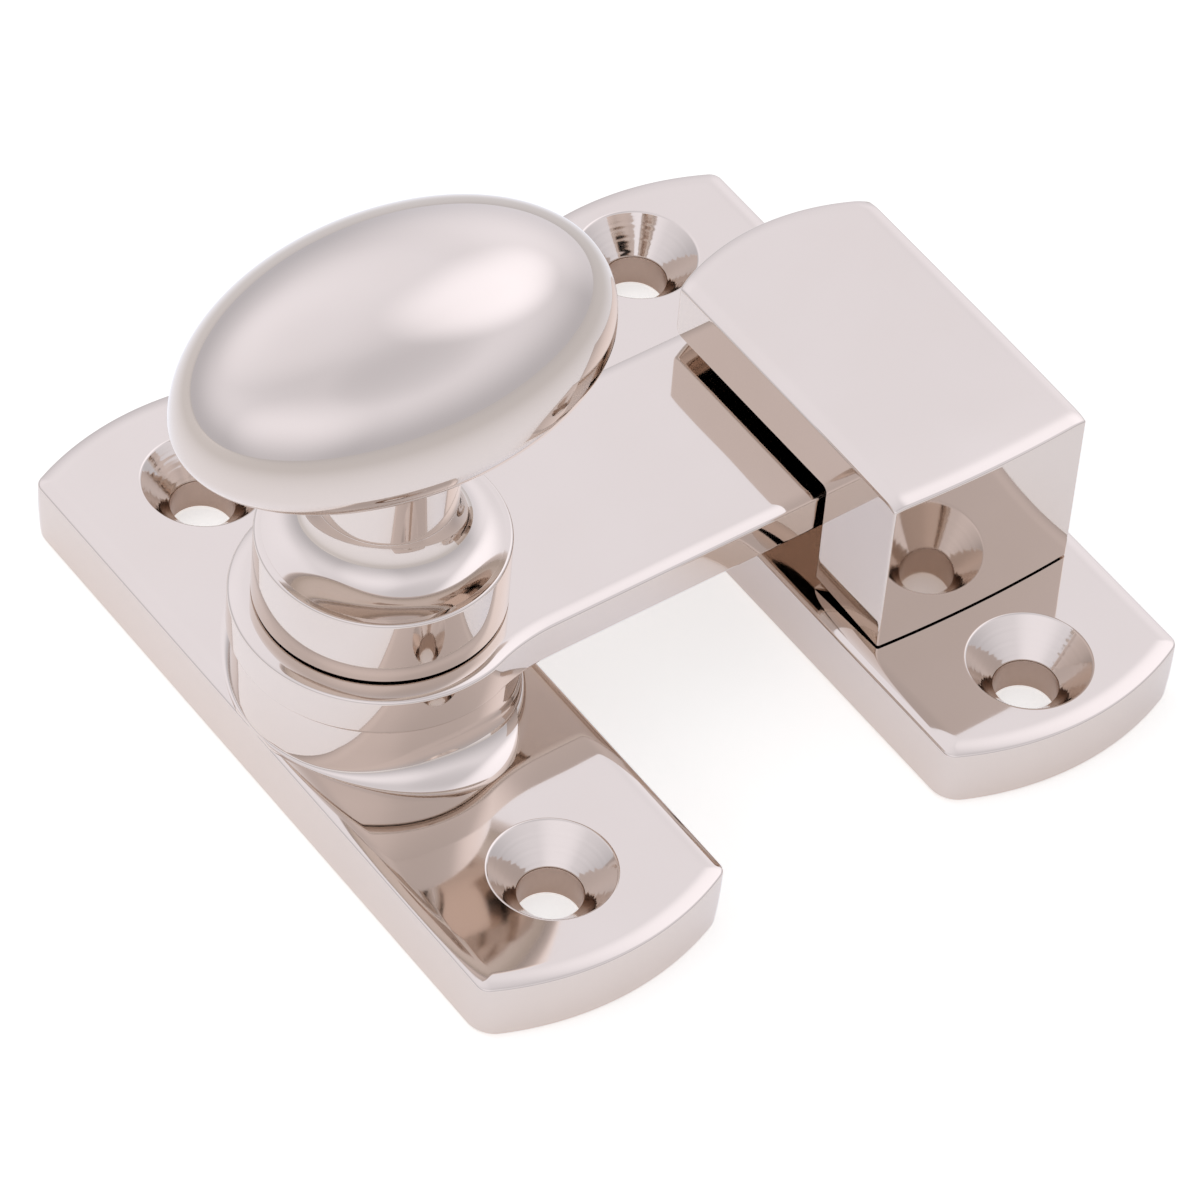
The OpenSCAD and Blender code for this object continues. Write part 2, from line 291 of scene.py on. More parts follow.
class LATCH_PG_finish(bpy.types.PropertyGroup):
    """Colours of the metals, and the painted shade on the walls of the drilled holes."""

    nickel: colour("Nickel", "Colour of the polished nickel", (0.70, 0.611, 0.546))
    nickel_deep: colour("Nickel, deeper", "Colour of the faint clouds in the nickel", (0.68, 0.588, 0.52))
    # Painted shade: the walls of the drilled holes take this darker, browner colour
    drilled: colour("Nickel, drilled", "Colour of the bare walls of the drilled holes", (0.50, 0.38, 0.31))
    steel: colour("Steel", "Colour of the inner steel pieces", (0.56, 0.55, 0.53))
    brass: colour("Brass", "Colour of the thrust washer", (0.62, 0.47, 0.22))


class LATCH_PG_stage(bpy.types.PropertyGroup):
    """Light and floor of the studio."""

    floor: colour("Floor", "Colour of the floor", (0.90, 0.89, 0.885))
    floor_glow: bpy.props.FloatProperty(
        name="Floor glow", description="Part of the floor's white that shadows don't take away", default=0.55
    )
    floor_cool: colour("Mirrored floor", "Colour of the floor's glow in reflections", (0.75, 0.82, 1.0))
    # Painted shadow: the darker, browner colour that the floor's glow takes in reflections close to the latch
    floor_shade: colour("Mirrored shade", "Colour of that glow close to the latch's foot", (0.52, 0.46, 0.42))
    shade_reach: length("Shade reach", "How far the latch shades the floor in reflections", 0.010)
    # Painted pool of light: the floor's glow in reflections is strongest beside the latch and falls to the
    # far glow
    floor_mirrored: bpy.props.FloatProperty(
        name="Mirrored glow", description="Glow of the floor in reflections, beside the latch", default=0.72
    )
    floor_far: bpy.props.FloatProperty(
        name="Far glow", description="Glow of the floor in reflections, away from the latch", default=0.30
    )
    floor_reach: length("Floor reach", "Distance over which the mirrored glow falls", 0.16)
    open_sky: bpy.props.FloatProperty(
        name="Open sky", description="Level of the soft light on the floor", default=0.5
    )
    tent: colour("Tent", "Colour of the light tent", (0.85, 0.885, 1.0))
    tent_level: bpy.props.FloatProperty(
        name="Tent level", description="Brightness of the light tent", default=1.195
    )
    top_power: bpy.props.FloatProperty(
        name="Top lamp", description="Power of the lamp overhead", default=0.6, unit="POWER"
    )
    side_power: bpy.props.FloatProperty(
        name="Side lamp", description="Power of the lamp at the left", default=0.3, unit="POWER"
    )


SIZE_GROUPS = {
    "latch_plates": LATCH_PG_plate,
    "latch_boss": LATCH_PG_boss,
    "latch_bar": LATCH_PG_arm,
    "latch_knob": LATCH_PG_knob,
    "latch_hook": LATCH_PG_hook,
    "latch_finish": LATCH_PG_finish,
    "latch_studio": LATCH_PG_stage,
}


# Surfaces

def shares(count, end=True):
    """Evenly spaced shares of a stretch from 0 to 1, as one row."""
    return np.linspace(0.0, 1.0, count, endpoint=end)[None, :]


def crowded(count):
    """Shares from 0 to 1 that crowd towards both ends, half of 1 minus the cosine, as one row."""
    return (1 - np.cos(np.pi * shares(count))) / 2


def column(values):
    """A list of numbers as one column, one number to a row of a grid."""
    return np.asarray(values, float).reshape(-1, 1)


def plane_points(x, y):
    """Rows of points from their two coordinates, stretched to the same shape."""
    x, y = np.broadcast_arrays(x, y)
    return np.stack([x, y], axis=-1)


def lifted(loops, heights):
    """Loops of plane points raised to a height for each row."""
    heights = np.broadcast_to(np.asarray(heights, float).reshape(-1, 1), loops.shape[:2])
    return np.concatenate([loops, heights[..., None]], axis=-1)


def grid_faces(rows, columns, closed):
    """Corner numbers of the quads between neighbouring rows.

    A closed grid also joins its last column to its first.
    """
    steps = columns if closed else columns - 1
    row, col = np.meshgrid(np.arange(rows - 1), np.arange(steps), indexing="ij")
    after = (col + 1) % columns
    here, above = row * columns, (row + 1) * columns
    return np.stack([here + col, here + after, above + after, above + col], axis=-1).reshape(-1, 4)


def eased_path(points, cuts, steps=BEND_STEPS):
    """A path whose inner corners become quadratic curves.

    Each curve starts a cut before its corner, ends a cut after it and has the corner as its control point:
    (1-s)^2 before + 2s(1-s) corner + s^2 after.
    """
    points = np.asarray(points, float)
    corner = points[1:-1]
    back = points[:-2] - corner
    ahead = points[2:] - corner
    cut = np.asarray(cuts, float).reshape(-1, 1)
    before = corner + cut * back / np.linalg.norm(back, axis=1, keepdims=True)
    after = corner + cut * ahead / np.linalg.norm(ahead, axis=1, keepdims=True)
    s = np.linspace(0.0, 1.0, steps)[None, :, None]
    curves = (1 - s) ** 2 * before[:, None] + 2 * s * (1 - s) * corner[:, None] + s**2 * after[:, None]
    return np.concatenate([points[:1], curves.reshape(-1, 2), points[-1:]])


def turned(profile, angles, centre=(0.0, 0.0)):
    """A profile of radius and height carried round an upright axis.

    x and y are the radius times the cosine and the sine of the angle.
    """
    radius, height = profile[:, :1], profile[:, 1:]
    x = centre[0] + radius * np.cos(angles)
    y = centre[1] + radius * np.sin(angles)
    return np.stack([x, y, np.broadcast_to(height, x.shape)], axis=-1)


def round_angles(count=ROUND_COLUMNS):
    """Angles of the columns of a turned piece."""
    return np.linspace(0.0, 2 * np.pi, count, endpoint=False)[None, :]


def between(first, last, steps):
    """Rows that go straight from one loop of points to another, without the first loop itself."""
    share = np.linspace(0.0, 1.0, steps + 1)[1:, None, None]
    return first + share * (last - first)


def make_piece(name, grids, body, nodes, material, caps=()):
    """A closed mesh from grids that meet edge to edge.

    Each grid is (points by row and column, whether its columns close, how satin each row is). Satin is 0 on
    polished metal, up to 1 where it is rougher and up to DRILL_SATIN_AND_SHADE where it is also darker, which
    is painted shade on the walls of the drilled holes. A cap is (grid, row), closed by one flat face. Points
    that coincide are merged and the faces turned outwards.
    """
    sizes = [g[0].shape[:2] for g in grids]
    starts = np.cumsum([0] + [rows * columns for rows, columns in sizes])
    points = np.concatenate([g[0].reshape(-1, 3) for g in grids])
    satin = np.concatenate([
        np.broadcast_to(column(g[2]), size).reshape(-1) for g, size in zip(grids, sizes)
    ])
    quads = np.concatenate([
        grid_faces(*size, g[1]) + start for g, size, start in zip(grids, sizes, starts)
    ])
    rings = [(starts[g] + row * sizes[g][1] + np.arange(sizes[g][1])).tolist() for g, row in caps]
    mesh = bpy.data.meshes.new(name)
    mesh.from_pydata(points.tolist(), [], quads.tolist() + rings)
    layer = mesh.attributes.new("satin", "FLOAT", "POINT")
    layer.data.foreach_set("value", satin.astype(np.float32))
    work = bmesh.new()
    work.from_mesh(mesh)
    bmesh.ops.remove_doubles(work, verts=work.verts, dist=MERGE)
    bmesh.ops.recalc_face_normals(work, faces=work.faces)
    work.to_mesh(mesh)
    work.free()
    mesh.shade_smooth()
    mesh.set_sharp_from_angle(angle=SHARP_ANGLE)
    mesh.materials.append(material)
    piece = bpy.data.objects.new(name, mesh)
    bpy.context.scene.collection.objects.link(piece)
    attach(piece, body)
    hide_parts(*nodes)
    return piece


def dubbed_edge(piece, high):
    """Inset and height of each row over a top edge, and the height at which its rounding starts.

    A rounding on a circle, then a dubbed strip that falls with the square of the distance from its inner
    edge. The rounding stops where its slope is the strip's.
    """
    slope = math.atan2(2 * piece.dub_depth, piece.dub_width)
    turn = np.linspace(0.0, np.pi / 2 - slope, BEND_STEPS)
    strip = np.linspace(0.0, 1.0, BEND_STEPS)[1:]
    start = high - piece.dub_depth - piece.edge * math.sin(turn[-1])
    rounding = piece.edge * (1 - np.cos(turn))
    inset = np.concatenate([rounding, rounding[-1] + piece.dub_width * strip])
    height = np.concatenate([start + piece.edge * np.sin(turn), high - piece.dub_depth * (1 - strip) ** 2])
    return inset, height, start


# Plates

def plate_quarter(plate, split, inset, corner):
    """A quarter of a plate's outline, from the middle of its +X side to the middle of its +Y end.

    A straight side, a corner arc and an end arc, all tangent. An inset moves every part inwards by the same
    distance, so the corner's centre stays put while its radius shrinks.
    """
    half_w = (PLATE_HIGH.x - PLATE_LOW.x) / 2
    half_l = (PLATE_HIGH.y - PLATE_LOW.y) / 2
    end_r = (half_w**2 + plate.end_rise**2) / (2 * plate.end_rise)
    end_y = half_l - end_r
    inset = column(inset)
    radius = np.maximum(column(corner) - inset, LEAST_CORNER)
    corner_x = half_w - inset - radius
    corner_y = end_y + np.sqrt((end_r - inset - radius) ** 2 - corner_x**2)
    turn = np.arctan2(corner_y - end_y, corner_x)
    bend = turn * shares(BEND_STEPS, end=False)
    sweep = turn + (np.pi / 2 - turn) * shares(END_STEPS)
    return np.concatenate([
        plane_points(half_w - inset, split * shares(MID_STEPS, end=False)),
        plane_points(half_w - inset, split + (corner_y - split) * shares(SIDE_STEPS, end=False)),
        plane_points(corner_x + radius * np.cos(bend), corner_y + radius * np.sin(bend)),
        plane_points((end_r - inset) * np.cos(sweep), end_y + (end_r - inset) * np.sin(sweep)),
    ], axis=1)


def mirrored_loop(quarter):
    """The closed loop that a quarter outline gives when it is mirrored in both axes, counter-clockwise."""
    back = quarter[:, ::-1]
    turns = [quarter, back * (-1, 1), -quarter, back * (1, -1)]
    return np.concatenate([t[:, :-1] for t in turns], axis=1)


def plate_edge_rows(plate):
    """Inset, height, corner radius and satin of each row round a plate, from its foot to its top face.

    A foot rounding, a swelling wall, then the dubbed top edge and a level ring. The wall draws in by the
    belly times the square of the distance from mid height.
    """
    thick = PLATE_HIGH.z
    foot = np.linspace(-np.pi / 2, 0.0, BEND_STEPS)
    wall = np.linspace(-1.0, 1.0, BEND_STEPS)[1:-1]
    top_inset, top_height, top_start = dubbed_edge(plate, thick)
    inset = np.concatenate([
        plate.belly + plate.foot_edge * (1 - np.cos(foot)),
        plate.belly * wall**2,
        plate.belly + top_inset,
        [plate.belly + top_inset[-1] + plate.flat_ring],
    ])
    height = np.concatenate([
        plate.foot_edge * (1 + np.sin(foot)),
        plate.foot_edge + (top_start - plate.foot_edge) * (wall + 1) / 2,
        top_height,
        [thick],
    ])
    corner = plate.corner_foot + (plate.corner_top - plate.corner_foot) * np.clip(height / top_start, 0, 1)
    below_top = thick - plate.edge * SATIN_SHARE - height
    satin = np.clip(np.minimum(height, below_top) / plate.edge, 0, 1)
    return inset, height, corner, satin


def sink_profile(plate, hole_r):
    """A countersunk hole from the back face to the top face, with eased corners.

    Gives radius and height by row, how far each row lies in the cone, and the cone's lower end. Fine turning
    marks ripple the cone's radius as a sum of two sines of the height.
    """
    thick = PLATE_HIGH.z
    sink_r = plate.sink_d / 2
    shoulder = thick - (sink_r - hole_r) / math.tan(plate.sink_angle / 2)
    ease = plate.sink_rim
    path = eased_path(
        [(hole_r, 0.0), (hole_r, shoulder), (sink_r, thick), (sink_r + 2 * ease, thick)],
        [ease, ease],
    )
    along = np.concatenate([[0.0], np.cumsum(np.linalg.norm(np.diff(path, axis=0), axis=1))])
    dense = np.union1d(along, np.linspace(0.0, along[-1], SINK_ROWS))
    radius = np.interp(dense, along, path[:, 0])
    height = np.interp(dense, along, path[:, 1])
    cone = np.clip((height - shoulder) / ease, 0, 1) * np.clip((thick - ease - height) / ease, 0, 1)
    phase = 2 * np.pi * height / plate.ring_pitch
    ripple = np.sin(phase) + RIPPLE_SIZE * np.sin(RIPPLE_RATE * phase + RIPPLE_START)
    return np.stack([radius + cone * ripple * plate.ring_height, height], axis=1), cone, shoulder


def plate_grids(plate, spacing, hole_r, split, open_middle):
    """Grids of a whole plate about its own middle.

    Its rim, a ring from the back face through each screw hole to the top face, and what lies between them:
    a ring through the nut's recess, or plain faces with a sink for each hook screw. Rows between two loops
    lie on straight lines from one to the other.
    """
    inset, height, corner, satin = plate_edge_rows(plate)
    loops = mirrored_loop(plate_quarter(plate, split, inset, corner))
    rim = lifted(loops, height)
    quarter = loops.shape[1] // 4
    section = slice(MID_STEPS, 2 * quarter - MID_STEPS + 1)
    foot, top = rim[0], rim[-1]

    def end_loop(ring):
        """The loop round one screw hole: the rim's own points, then the line that divides the face."""
        part = ring[section]
        divide = between(part[-1:], part[:1], DIVIDE_STEPS + 1)[:-1, 0]
        return np.concatenate([part, divide])

    profile, cone, shoulder = sink_profile(plate, hole_r)
    centre = (0.0, spacing / 2)
    outer_top, outer_foot = end_loop(top), end_loop(foot)
    angles = np.arctan2(outer_top[:, 1] - centre[1], outer_top[:, 0])[None, :]
    hole = turned(profile, angles, centre)
    far = np.concatenate([
        outer_foot[None], between(outer_foot, hole[0], BACK_ROWS), hole[1:],
        between(hole[-1], outer_top, TOP_ROWS),
    ])
    # Rows on the drilled wall: rougher, and darker as painted shade
    drilled = np.clip((shoulder - profile[:, 1]) / plate.sink_rim, 0, 1)
    in_hole = cone * CONE_SATIN + drilled * DRILL_SATIN_AND_SHADE
    marks = np.concatenate([np.zeros(BACK_ROWS + 1), in_hole[1:], np.zeros(TOP_ROWS)])
    turned_round = far * (-1, -1, 1)
    grids = [(rim, True, satin), (far, True, marks), (turned_round, True, marks)]

    def middle_loop(ring):
        """The loop round the middle of a face: both long sides and both dividing lines."""
        right = np.concatenate([ring[-MID_STEPS:], ring[:MID_STEPS + 1]])
        left = ring[2 * quarter - MID_STEPS:2 * quarter + MID_STEPS + 1]
        over = between(right[-1:], left[:1], DIVIDE_STEPS + 1)[:-1, 0]
        under = between(left[-1:], right[:1], DIVIDE_STEPS + 1)[:-1, 0]
        return np.concatenate([right, over, left, under])

    def flat_grid(x, y, z):
        """A level face over two lists of coordinates."""
        x, y = np.meshgrid(x, y, indexing="ij")
        return np.stack([x, y, np.full_like(x, z)], axis=-1)

    if open_middle:
        middle_top, middle_foot = middle_loop(top), middle_loop(foot)
        angles = np.arctan2(middle_top[:, 1], middle_top[:, 0])[None, :]
        recess_r = plate.recess_d / 2
        low, high = turned(np.array([(recess_r, 0.0), (recess_r, PLATE_HIGH.z)]), angles)
        ring = np.concatenate([
            middle_foot[None], between(middle_foot, low, RECESS_FACE_ROWS),
            between(low, high, RECESS_WALL_ROWS), between(high, middle_top, RECESS_FACE_ROWS),
        ])
        grids.append((ring, True, 0.0))
        return grids

    across = np.linspace(-1.0, 1.0, DIVIDE_STEPS + 2)
    along = np.linspace(-split, split, 2 * MID_STEPS + 1)
    grids.append((flat_grid(across * top[0, 0], along, PLATE_HIGH.z), False, 0.0))
    cut = int(np.searchsorted(along, -plate.hook_screw_y + plate.hook_head_d / 2 + HEAD_ROOM))
    half = len(across) // 2
    grids.append((flat_grid(across * foot[0, 0], along[cut:], 0.0), False, 0.0))
    head_r = plate.hook_head_d / 2
    shank_r = head_r / 2
    shank_z = PLATE_HIGH.z * SHANK_SHARE
    sink = np.array([(head_r, 0.0), (shank_r, head_r - shank_r), (shank_r, shank_z), (0.0, shank_z)])
    for side, part in ((-1, slice(0, half + 1)), (1, slice(half, None))):
        x, y = across[part] * foot[0, 0], along[:cut + 1]
        loop = np.concatenate([
            plane_points(x, y[0]), plane_points(x[-1], y[1:]),
            plane_points(x[-2::-1], y[-1]), plane_points(x[0], y[-2:0:-1]),
        ])
        loop = lifted(loop[None], 0.0)[0]
        spot = (side * plate.hook_screw_x, -plate.hook_screw_y)
        angles = np.arctan2(loop[:, 1] - spot[1], loop[:, 0] - spot[0])[None, :]
        head = turned(sink, angles, spot)
        grids.append((np.concatenate([loop[None], between(loop, head[0], BACK_ROWS), head[1:]]), True, 0.0))
    return grids


def boss_grid(plate, boss):
    """The boss as a closed ring: root, bore, flat top, thin rim, wall and a hollow fillet at its foot.

    The fillet is a quarter circle. Its radius goes with the fourth power of the sine of the direction, from
    least at the plate's long sides to full towards its ends, and keeps to the room up to the long side.
    """
    angles = round_angles(2 * ROUND_COLUMNS)
    radius = boss.diameter / 2
    face = PLATE_HIGH.z
    room = (PLATE_HIGH.x - PLATE_LOW.x) / 2 - plate.belly - plate.edge * ROOM_SHARE
    wide = boss.fillet_least + (boss.fillet - boss.fillet_least) * np.sin(angles) ** 4
    to_side = room / np.maximum(np.abs(np.cos(angles)), LEAST_COSINE)
    fillet = np.clip(to_side - radius, LEAST_FILLET, wide)
    recess_r = plate.recess_d / 2 + ROOT_GAP
    bore_r = boss.bore_d / 2
    rim_r = radius - boss.rim
    top_z = LATCH_HIGH.z
    rim_z = ARM_LOW.z - boss.rim_gap
    inner = eased_path(
        [(recess_r, face - boss.bed), (recess_r, face), (bore_r, face), (bore_r, top_z), (rim_r, top_z),
         (rim_r, rim_z), (radius, rim_z), (radius, face + boss.fillet)],
        [ROOT_GAP, ROOT_GAP, boss.edge / 2, boss.rim_gap / 2, boss.rim_gap / 2, boss.edge],
    )
    top = turned(inner, angles)
    turn = np.linspace(0.0, np.pi / 2, 2 * BEND_STEPS)[:, None]
    r = radius + fillet * (1 - np.cos(turn))
    z = face + fillet * (1 - np.sin(turn))
    hollow = np.stack([r * np.cos(angles), r * np.sin(angles), z], axis=-1)
    root = hollow[-1:].copy()
    root[..., 2] = face - boss.bed
    return np.concatenate([top, hollow, root, top[:1]])


# Arm

def arm_loop(arm, inset):
    """The arm's outline, counter-clockwise from the middle of its tip.

    A tip corner, a straight side, a hollow blend and the round end about the pivot, then the same mirrored.
    The blend's centre lies where a circle touches both the round end and the straight side, and an inset
    leaves it in place.
    """
    inset = column(inset)
    round_r = -ARM_LOW.x
    half_w = arm.width / 2
    blend_x = math.sqrt((round_r + arm.blend) ** 2 - (half_w + arm.blend) ** 2)
    blend_y = half_w + arm.blend
    blend_r = arm.blend + inset
    meet = math.atan2(blend_y, blend_x)
    tip_r = arm.tip_round - inset
    tip_x = ARM_HIGH.x - arm.tip_round
    tip_y = half_w - arm.tip_round
    bend = np.pi / 2 * shares(BEND_STEPS, end=False)
    hollow = -np.pi / 2 - (np.pi / 2 - meet) * shares(END_STEPS, end=False)
    sweep = meet + (np.pi - meet) * shares(2 * END_STEPS)
    upper = np.concatenate([
        plane_points(ARM_HIGH.x - inset, tip_y * shares(SIDE_STEPS, end=False)),
        plane_points(tip_x + tip_r * np.cos(bend), tip_y + tip_r * np.sin(bend)),
        plane_points(tip_x + (blend_x - tip_x) * shares(2 * SIDE_STEPS, end=False), half_w - inset),
        plane_points(blend_x + blend_r * np.cos(hollow), blend_y + blend_r * np.sin(hollow)),
        plane_points((round_r - inset) * np.cos(sweep), (round_r - inset) * np.sin(sweep)),
    ], axis=1)
    lower = upper[:, -2:0:-1] * (1, -1)
    return np.concatenate([upper, lower], axis=1)


def arm_grid(arm):
    """The arm as one grid: level strip and rounding below, wall, dubbed edge and level strip above."""
    low, high = ARM_LOW.z, ARM_HIGH.z
    foot = np.linspace(-np.pi / 2, 0.0, BEND_STEPS)
    top_inset, top_height, _ = dubbed_edge(arm, high)
    inset = np.concatenate([
        [arm.foot_edge * 2], arm.foot_edge * (1 - np.cos(foot)),
        top_inset, [top_inset[-1] + arm.foot_edge / 2],
    ])
    height = np.concatenate([[low], low + arm.foot_edge * (1 + np.sin(foot)), top_height, [high]])
    return lifted(arm_loop(arm, inset), height)


# Knob

def base_profile(knob):
    """Radius and height up the turned base: grooved foot, drum wall, eased edge, then a cove to the neck.

    The cove is a quarter of a superellipse: sin^(2/p) of its size inwards and cos^(2/p) downwards.
    """
    radius = BASE_HIGH.x
    low, high = BASE_LOW.z, BASE_HIGH.z
    drum_top = low + knob.base_h
    neck_r = radius - knob.cove_r
    groove_r = radius - knob.foot_depth
    foot = low + knob.foot_gap
    drum = eased_path(
        [(0.0, low), (groove_r, low), (groove_r, foot), (radius, foot), (radius, drum_top),
         (radius - 2 * knob.base_edge, drum_top)],
        [knob.base_edge / 4, knob.base_edge / 4, knob.base_edge / 2, knob.base_edge],
    )
    start = math.asin((2 * knob.base_edge / knob.cove_r) ** (knob.cove_power / 2))
    turn = np.linspace(start, np.pi / 2, 4 * BEND_STEPS)
    power = 2 / knob.cove_power
    quarter = np.stack([np.sin(turn) ** power, np.abs(np.cos(turn)) ** power], axis=1)
    cove = quarter * -knob.cove_r + (radius, high)
    bevel = knob.joint_bevel
    lid = eased_path(
        [cove[-1] - (0.0, bevel), (neck_r, high - bevel / 4), (neck_r - bevel, high), (0.0, high)],
        [bevel / 4, bevel / 4], BEVEL_STEPS,
    )
    return np.concatenate([drum, cove[cove[:, 1] < high - LID_SHARE * bevel], lid])


def knob_grid(knob):
    """The oval head with its neck, as rings from the neck's foot to the top of the dome.

    The neck is a circle that flares on an arc into the underside. The underside is half an ellipsoid, reached
    by sliding each ring from the flare's circle to the oval rim. The dome is a superellipse over the same
    oval: radius sin^(2/p), height cos^(2/p).
    """
    angles = round_angles()
    half_l, half_w = KNOB_HIGH.x, KNOB_HIGH.y
    neck_r = BASE_HIGH.x - knob.cove_r
    low, top = KNOB_LOW.z, KNOB_HIGH.z
    widest = top - knob.dome_h
    cos, sin = np.cos(angles), np.sin(angles)

    def underside(x, y):
        """Height of the underside over a point of the plan."""
        reach = np.clip((x / half_l) ** 2 + (y / half_w) ** 2, 0.0, 1.0)
        return widest - knob.under_h * np.sqrt(1 - reach)

    probe = neck_r + knob.neck_flare * PROBE_SHARE
    beyond = probe + PROBE_STEP
    slope = (underside(beyond * cos, beyond * sin) - underside(probe * cos, probe * sin)) / PROBE_STEP
    last = np.arctan2(1.0, slope)
    turn = last * np.linspace(0.0, 1.0, 2 * BEND_STEPS)[:, None]
    end_r = neck_r + knob.neck_flare * (1 - np.cos(last))
    end_z = underside(end_r * cos, end_r * sin)
    flare_r = neck_r + knob.neck_flare * (1 - np.cos(turn))
    flare_z = end_z + knob.neck_flare * (np.sin(turn) - np.sin(last))
    flare = np.stack([flare_r * cos, flare_r * sin, flare_z], axis=-1)

    bevel = knob.joint_bevel
    foot = eased_path(
        [(0.0, low), (neck_r - bevel, low), (neck_r, low + bevel), (neck_r, low + 4 * bevel)],
        [bevel / 4, bevel / 4], BEVEL_STEPS,
    )
    neck = turned(foot, angles)
    shaft = between(neck[-1], flare[0], NECK_ROWS)

    share = np.sin(np.linspace(0.0, np.pi / 2, 4 * BEND_STEPS))[1:, None]
    x = cos * ((1 - share) * end_r + share * half_l)
    y = sin * ((1 - share) * end_r + share * half_w)
    bowl = np.stack([x, y, underside(x, y)], axis=-1)

    rise = np.linspace(np.pi / 2, 0.0, 6 * BEND_STEPS)[1:, None]
    reach = np.sin(rise) ** (2 / knob.dome_power)
    x, y = half_l * reach * cos, half_w * reach * sin
    height = widest + knob.dome_h * np.cos(rise) ** (2 / knob.dome_power)
    dome = np.stack([x, y, np.broadcast_to(height, x.shape)], axis=-1)
    return np.concatenate([neck, shaft, flare[1:], bowl, dome])


# Hook

def hook_grids(hook):
    """The hook as its upright profile carried along X, and the groove round its foot.

    The profile is an inverted L with eased corners. Its far end follows an arc over the width and its near
    face swells with the square of the distance from the middle. Towards either side the profile shrinks
    along a quarter circle. The top falls with the square of the nearness to its edges, narrowly for the
    dubbed edges and widely for the crown at the near edge. The wall's inner foot rises towards the -X side in
    the same way. The groove steps in from the open foot and goes down to the plate.
    """
    half_w = (HOOK_HIGH.x - HOOK_LOW.x) / 2
    middle = (HOOK_HIGH.x + HOOK_LOW.x) / 2
    turn = np.linspace(0.0, np.pi / 2, BEND_STEPS)
    side = half_w - hook.edge + hook.edge * np.sin(turn)
    shrink = hook.edge * (1 - np.cos(turn))
    span = ((half_w - hook.edge) * (2 * crowded(HOOK_ROWS) - 1))[0, 1:-1]
    x = np.concatenate([[-half_w], -side[::-1], span, side, [half_w]])
    inset = np.concatenate([[2 * hook.edge], shrink[::-1], np.zeros(len(span)), shrink, [2 * hook.edge]])
    x, inset = column(x), column(inset)

    lip_r = (half_w**2 + hook.lip_rise**2) / (2 * hook.lip_rise)
    far = HOOK_HIGH.y - lip_r + np.sqrt(lip_r**2 - np.minimum(np.abs(x), half_w) ** 2) - inset
    near = HOOK_LOW.y + hook.near_swell * (x / half_w) ** 2 + inset
    wall = HOOK_LOW.y + hook.wall_t - inset
    top = HOOK_HIGH.z - inset
    under = HOOK_HIGH.z - hook.lip_t + inset
    foot = np.full_like(inset, HOOK_LOW.z + hook.foot_gap)
    lifted_foot = foot + hook.foot_lift * np.clip(1 - (x + half_w) / hook.foot_fade, 0, 1) ** 2

    def arc(y, z, radius, first, last):
        """An arc about (y, z) between two angles, in every section."""
        angle = first + (last - first) * shares(BEND_STEPS)
        return plane_points(y + radius * np.cos(angle), z + radius * np.sin(angle))

    def run(y0, z0, y1, z1, count):
        """A straight stretch without its ends, crowded towards them, in every section."""
        s = crowded(count + 2)[:, 1:-1]
        return plane_points(y0 + (y1 - y0) * s, z0 + (z1 - z0) * s)

    edge = np.maximum(hook.edge - inset, LEAST_EDGE)
    lead = hook.lead_r - inset
    inner = hook.inner_r + inset
    half = np.pi / 2
    loop = np.concatenate([
        plane_points(near, foot),
        run(near, foot, near, top - edge, HOOK_NEAR_STEPS),
        arc(near + edge, top - edge, edge, 2 * half, half),
        run(near + edge, top, far - edge, top, HOOK_ROWS),
        arc(far - edge, top - edge, edge, half, 0.0),
        run(far, top - edge, far, under + lead, LIP_END_STEPS),
        arc(far - lead, under + lead, lead, 0.0, -half),
        run(far - lead, under, wall + inner, under, LIP_UNDER_STEPS),
        arc(wall + inner, under - inner, inner, half, 2 * half),
        run(wall, under - inner, wall, lifted_foot, HOOK_WALL_STEPS),
        plane_points(wall, lifted_foot),
    ], axis=1)
    across = np.broadcast_to(middle + x, loop.shape[:2])
    from_side = np.broadcast_to(half_w - np.abs(x), loop.shape[:2])
    reach = np.stack([from_side, loop[..., 0] - near, far - loop[..., 0]])
    fall = (np.clip(1 - reach / hook.dub_width, 0, 1) ** 2).sum(axis=0)
    upper = np.clip((loop[..., 1] - HOOK_HIGH.z) / hook.dub_width + 1, 0, 1)
    crown = np.clip(1 - (loop[..., 0] - near) / hook.crown_width, 0, 1) ** 2
    loop[..., 1] -= (hook.dub_depth * fall + hook.crown_depth * crown) * upper
    block = np.concatenate([across[..., None], loop], axis=-1)

    rim = np.concatenate([block[:, 0], block[::-1, -1]])
    low, high = rim.min(axis=0) + hook.foot_depth, rim.max(axis=0) - hook.foot_depth
    neck = rim.copy()
    neck[:, :2] = np.clip(rim[:, :2], low[:2], high[:2])
    sole = neck.copy()
    sole[:, 2] = HOOK_LOW.z
    return block, np.stack([rim, neck, sole])


# Finishes

